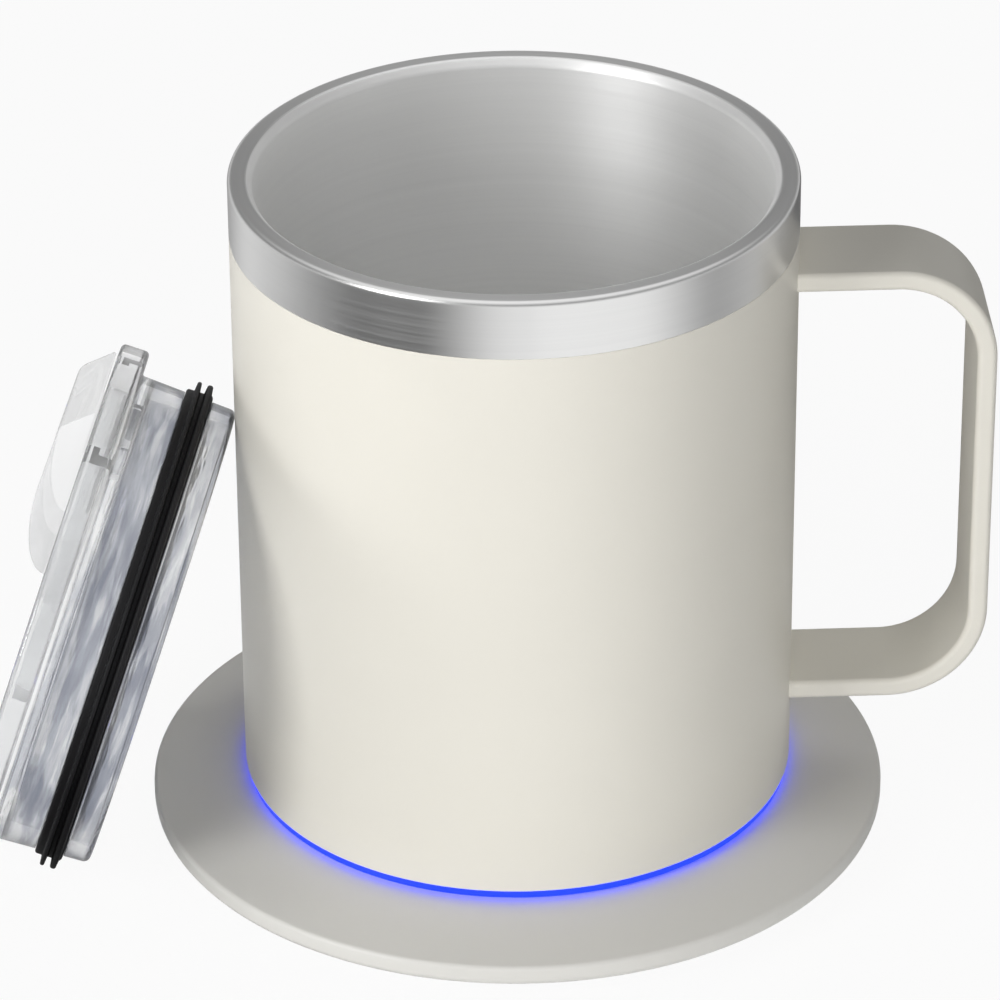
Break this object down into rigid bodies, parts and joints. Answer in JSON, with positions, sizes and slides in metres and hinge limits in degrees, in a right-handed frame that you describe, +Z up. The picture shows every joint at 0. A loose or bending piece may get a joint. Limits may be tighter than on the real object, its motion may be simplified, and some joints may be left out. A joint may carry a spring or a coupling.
{
  "type": "self-heating mug",
  "caption": "Double-wall steel mug with strap handle, heated base and glowing blue light ring, standing on a round charging coaster, with a clear gasketed slider lid leaning on its side.",
  "frame": {"origin": "the mug's axis, on the surface that the coaster stands on", "axes": "+Z up along the mug's axis, +X towards the handle, +Y towards the coaster's inlet"},
  "size_m": [0.1571, 0.1118, 0.1091],
  "materials": {
    "coat": "satin powder coat, warm white",
    "steel": "brushed",
    "coaster_plastic": "satin, warm white",
    "clear_plastic": "clear, polished",
    "silicone": "matte black",
    "clear_seal": "clear silicone",
    "glow": "frosted light guide, lit blue",
    "dark_plastic": "matte",
    "board": "circuit board with solder mask",
    "chip": "matte black",
    "gold": "gold plated",
    "film": "amber polyimide film",
    "wire": "insulated wire",
    "felt": "felt",
    "cell": "foil sleeve",
    "diode": "moulded"
  },
  "bodies": {
    "coaster": {"coaster_shell": "coaster_plastic", "coaster_cover": "coaster_plastic", "coaster_mat": "silicone", "coaster_screws": "steel", "dock_board": "board", "dock_parts": "chip", "inlet_shell": "steel", "inlet_tongue": "dark_plastic", "pin_housing": "dark_plastic", "pin_spring_centre": "steel", "pin_spring_side": "steel"},
    "mug": {"outer_shell": "coat", "rim_band": "steel", "inner_cup": "steel", "handle": "coat", "light_ring": "glow", "base_plate": "coaster_plastic", "base_seal": "silicone", "foot_ring": "silicone", "base_screws": "steel", "contact_disc": "gold", "contact_ring": "gold", "button_spring": "steel", "button_switch": "chip", "control_board": "board", "board_parts": "chip", "ring_leds": "diode", "battery_tray": "dark_plastic", "battery_pack": "cell", "insulation_pad": "felt", "heater_film": "film", "heat_sensor": "chip", "lead_wires": "wire"},
    "button": {"power_button": "dark_plastic"},
    "centre_pin": {"contact_pin_centre": "gold"},
    "side_pin": {"contact_pin_side": "gold"},
    "lid": {"lid_body": "clear_plastic", "lid_gasket": "silicone"},
    "slider": {"lid_slider": "clear_plastic", "slider_seal": "clear_seal"}
  },
  "joints": [
    {"name": "mug_lift", "type": "slide", "parent": "coaster", "child": "mug", "axis": [0, 0, 1], "range_m": [0, 0.12]},
    {"name": "lid_lift", "type": "slide", "parent": "coaster", "child": "lid", "axis": [0, 0, 1], "range_m": [0, 0.12]},
    {"name": "slider_open", "type": "slide", "parent": "lid", "child": "slider", "axis": [-0.3056, 0.0457, -0.9511], "range_m": [0, 0.014]},
    {"name": "button_press", "type": "slide", "parent": "mug", "child": "button", "axis": [0, 0, 1], "range_m": [0, 0.0008], "stiffness_N_per_m": 800, "springref_m": -0.0005, "deforming": ["button_spring"]},
    {"name": "centre_pin_press", "type": "slide", "parent": "coaster", "child": "centre_pin", "axis": [0, 0, -1], "range_m": [0, 0.0008], "stiffness_N_per_m": 300, "springref_m": -0.0005, "deforming": ["pin_spring_centre"]},
    {"name": "side_pin_press", "type": "slide", "parent": "coaster", "child": "side_pin", "axis": [0, 0, -1], "range_m": [0, 0.0008], "stiffness_N_per_m": 300, "springref_m": -0.0005, "deforming": ["pin_spring_side"]}
  ]
}
